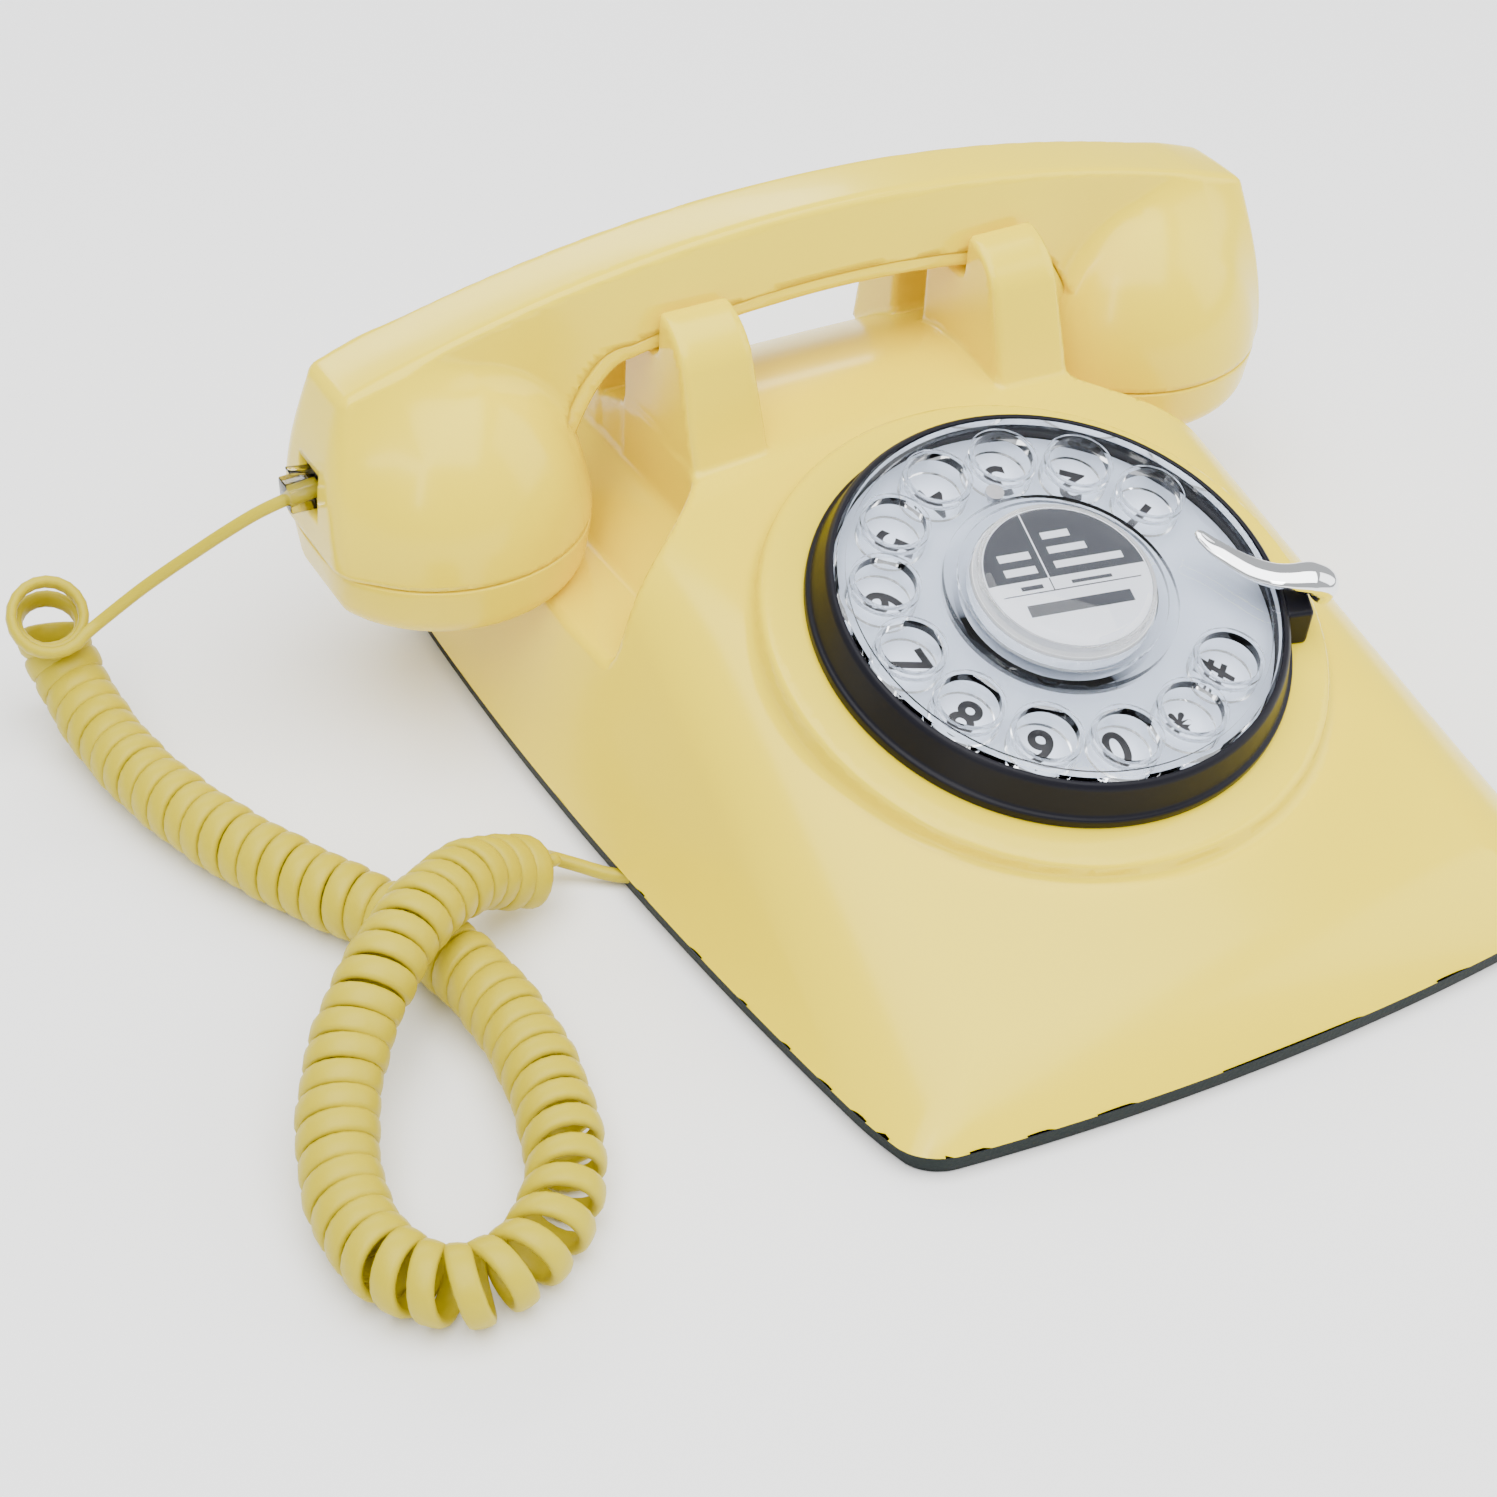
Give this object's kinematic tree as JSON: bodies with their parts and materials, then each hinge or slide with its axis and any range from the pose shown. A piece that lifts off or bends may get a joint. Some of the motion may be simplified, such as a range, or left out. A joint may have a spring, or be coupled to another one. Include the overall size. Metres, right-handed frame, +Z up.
{
  "type": "rotary dial desk telephone",
  "caption": "Glossy yellow desk telephone with a clear finger dial on its sloped face, a handset across a pronged cradle and a curly cord.",
  "frame": {"origin": "on the surface it stands on, at the middle of the telephone's own box without the cord", "axes": "+Z up, +X to the right along the handset, +Y from the front lip to the back"},
  "size_m": [0.3015, 0.224, 0.0995],
  "materials": {
    "yellow_plastic": "glossy moulded shell",
    "cord_plastic": "satin coiled cord jacket",
    "black_plastic": "glossy black",
    "base_black": "fine matt black",
    "clear_plastic": "clear moulded plastic",
    "number_white": "pale printed plate",
    "label_print": "printed card under a window",
    "white_plastic": "satin white",
    "bright_chrome": "polished",
    "steel_plain": "satin",
    "brass_plain": "satin",
    "coil_copper": "enamelled winding",
    "board_green": "circuit board lacquer",
    "foot_rubber": "matt"
  },
  "bodies": {
    "root": {"housing": "yellow_plastic", "base_plate": "base_black", "rubber_feet": "foot_rubber", "housing_screws": "steel_plain", "ballast_weight": "steel_plain", "dial_ring": "black_plastic", "number_plate": "number_white", "dial_bush": "brass_plain", "dial_plate": "steel_plain", "dial_plate_screws": "steel_plain", "return_spring": "steel_plain", "governor_drum": "steel_plain", "governor_bridge": "steel_plain", "button_switch": "board_green", "finger_stop": "bright_chrome", "finger_stop_bracket": "black_plastic", "finger_stop_screw": "steel_plain", "hook_spring": "steel_plain", "hook_post": "base_black", "hook_switch": "base_black", "circuit_board": "board_green", "loudspeaker": "base_black", "ringer_frame": "steel_plain", "bell_gongs": "brass_plain", "gong_screws": "steel_plain", "ringer_coil": "coil_copper", "line_jack": "base_black", "base_jack": "base_black", "base_plug": "clear_plastic", "cord_coil": "cord_plastic", "cord_lead_base": "cord_plastic"},
    "dial": {"finger_wheel": "clear_plastic", "wheel_screw": "steel_plain", "dial_shaft": "steel_plain", "drive_gear": "brass_plain"},
    "governor": {"governor_pinion": "brass_plain"},
    "button": {"button_cap": "white_plastic", "button_stem": "white_plastic", "label_card": "label_print", "label_window": "clear_plastic"},
    "hook": {"hook_plungers": "white_plastic", "hook_bar": "base_black"},
    "clapper": {"clapper": "steel_plain"},
    "handset": {"handset_shell": "yellow_plastic", "handset_grip": "yellow_plastic", "ear_cap": "yellow_plastic", "mouth_cap": "yellow_plastic", "ear_capsule": "base_black", "mouth_capsule": "base_black", "handset_weight": "steel_plain", "handset_jack": "base_black", "handset_plug": "clear_plastic", "cord_lead_handset": "cord_plastic"}
  },
  "joints": [
    {"name": "dial_turn", "type": "hinge", "parent": "root", "child": "dial", "pos_m": [0, -0.02432, 0.04564], "axis": [0, -0.3156, 0.9489], "range_deg": [-315, 0], "stiffness_Nm_per_rad": 0.01, "springref_deg": 28.65},
    {"name": "governor_spin", "type": "hinge", "parent": "root", "child": "governor", "pos_m": [0.0275, -0.02432, 0.04564], "axis": [0, -0.3156, 0.9489], "range_deg": [-5, 1265]},
    {"name": "button_press", "type": "slide", "parent": "dial", "child": "button", "axis": [0, 0.3156, -0.9489], "range_m": [0, 0.0015], "stiffness_N_per_m": 400, "springref_m": -0.002},
    {"name": "handset_lift", "type": "slide", "parent": "root", "child": "handset", "axis": [0, 0, 1], "range_m": [0, 0.15]},
    {"name": "hook_rise", "type": "slide", "parent": "root", "child": "hook", "axis": [0, 0, 1], "range_m": [0, 0.0031], "deforming": ["hook_spring"]},
    {"name": "clapper_swing", "type": "hinge", "parent": "root", "child": "clapper", "pos_m": [0, 0.076, 0.0155], "axis": [0, 0, 1], "range_deg": [-8, 8]}
  ],
  "couplings": [
    {"joint": "governor_spin", "follows": "dial_turn", "ratio": -4},
    {"joint": "hook_rise", "follows": "handset_lift", "ratio": 0.02}
  ]
}
